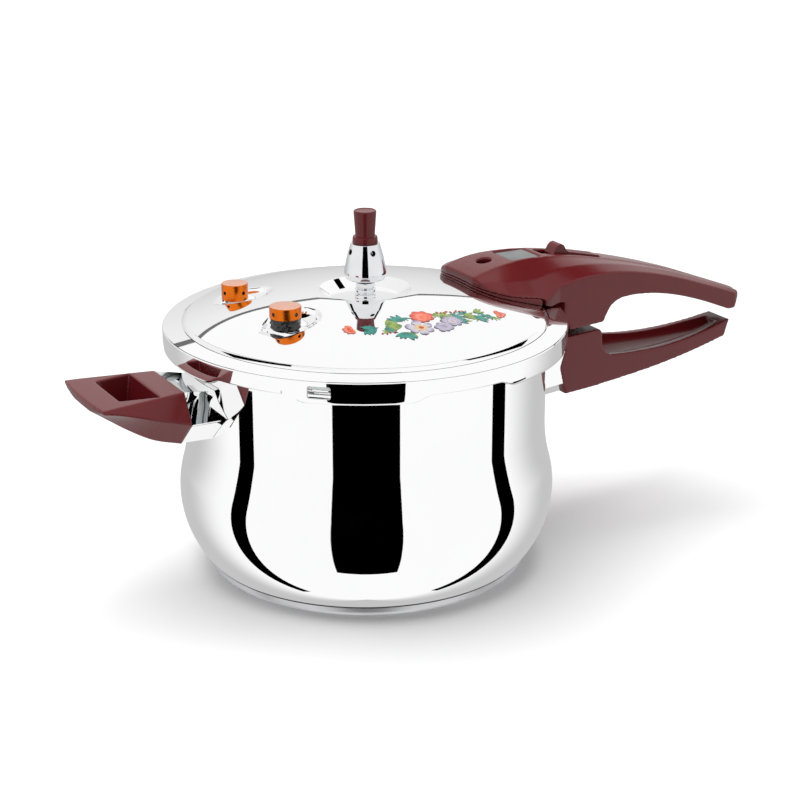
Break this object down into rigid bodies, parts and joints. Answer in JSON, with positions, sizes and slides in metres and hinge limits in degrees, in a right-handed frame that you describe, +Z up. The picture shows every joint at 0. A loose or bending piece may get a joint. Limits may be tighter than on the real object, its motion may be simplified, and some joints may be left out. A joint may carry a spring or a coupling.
{
  "type": "pressure cooker",
  "caption": "Stovetop pressure cooker: belly-shaped steel pot, bayonet lid that turns on its rim, weighted regulator, safety valves, long split handle with lock slide, short helper handle.",
  "frame": {"origin": "on the pot's axis, in the plane of the surface that the base stands on", "axes": "+Z up along the pot's axis, +X out along the long handle, -X towards the helper handle"},
  "size_m": [0.47, 0.2494, 0.2235],
  "materials": {
    "polished_steel": "mirror-polished stainless steel",
    "chromed_brass": "bright chrome plate on brass",
    "plain_steel": "plain pressed and turned stainless steel",
    "burgundy_bakelite": "moulded burgundy phenolic, semi-gloss",
    "aluminium_core": "cast aluminium",
    "clear_silicone": "translucent white silicone",
    "black_silicone": "black silicone, satin",
    "orange_anodised": "orange anodised aluminium, turned",
    "grey_plate": "plain grey metal plate"
  },
  "bodies": {
    "pot": {"pot_body": "polished_steel", "base_core": "aluminium_core", "base_cap": "polished_steel", "lower_handle": "burgundy_bakelite", "lower_handle_bracket": "plain_steel", "lower_handle_ferrule": "polished_steel", "lower_handle_screw": "plain_steel", "lock_catch": "plain_steel", "helper_handle": "burgundy_bakelite", "helper_bracket": "plain_steel", "helper_ferrule": "polished_steel", "helper_screw": "plain_steel"},
    "lid": {"lid_shell": "polished_steel", "sealing_gasket": "clear_silicone", "lid_bracket": "plain_steel", "upper_handle_base": "burgundy_bakelite", "upper_handle_cover": "burgundy_bakelite", "handle_screw": "plain_steel", "window_plate": "grey_plate", "vent_pipe": "chromed_brass", "vent_washer": "clear_silicone", "vent_nut": "plain_steel", "anti_block_cap": "plain_steel", "safety_valve_body": "plain_steel", "safety_valve_nut": "plain_steel", "safety_valve_boot": "black_silicone", "safety_valve_cap": "orange_anodised", "safety_valve_spring": "plain_steel", "relief_valve_body": "plain_steel", "relief_valve_nut": "plain_steel", "relief_valve_cap": "orange_anodised", "relief_valve_spring": "plain_steel", "float_seat": "plain_steel", "lock_spring": "plain_steel"},
    "regulator": {"regulator_weight": "chromed_brass", "regulator_knob": "burgundy_bakelite", "regulator_needle": "plain_steel"},
    "float": {"float_pin": "plain_steel", "float_ring": "clear_silicone"},
    "slider": {"lock_slider": "burgundy_bakelite", "lock_bolt": "plain_steel"},
    "safety_plunger": {"safety_valve_needle": "plain_steel"},
    "relief_plunger": {"relief_valve_needle": "plain_steel"}
  },
  "joints": [
    {"name": "lid_turn", "type": "hinge", "parent": "pot", "child": "lid", "pos_m": [0, 0, 0.15], "axis": [0, 0, 1], "range_deg": [0, 32]},
    {"name": "regulator_lift", "type": "slide", "parent": "lid", "child": "regulator", "axis": [0, 0, 1], "range_m": [0, 0.03]},
    {"name": "float_rise", "type": "slide", "parent": "lid", "child": "float", "axis": [0, 0, 1], "range_m": [0, 0.006]},
    {"name": "lock_slide", "type": "slide", "parent": "lid", "child": "slider", "axis": [-1, 0, 0], "range_m": [0, 0.008], "stiffness_N_per_m": 250, "springref_m": -0.004, "deforming": ["lock_spring"]},
    {"name": "safety_lift", "type": "slide", "parent": "lid", "child": "safety_plunger", "axis": [0, 0, 1], "range_m": [0, 0.0025], "stiffness_N_per_m": 1500, "springref_m": -0.001, "deforming": ["safety_valve_spring"]},
    {"name": "relief_lift", "type": "slide", "parent": "lid", "child": "relief_plunger", "axis": [0, 0, 1], "range_m": [0, 0.0025], "stiffness_N_per_m": 1500, "springref_m": -0.001, "deforming": ["relief_valve_spring"]}
  ]
}
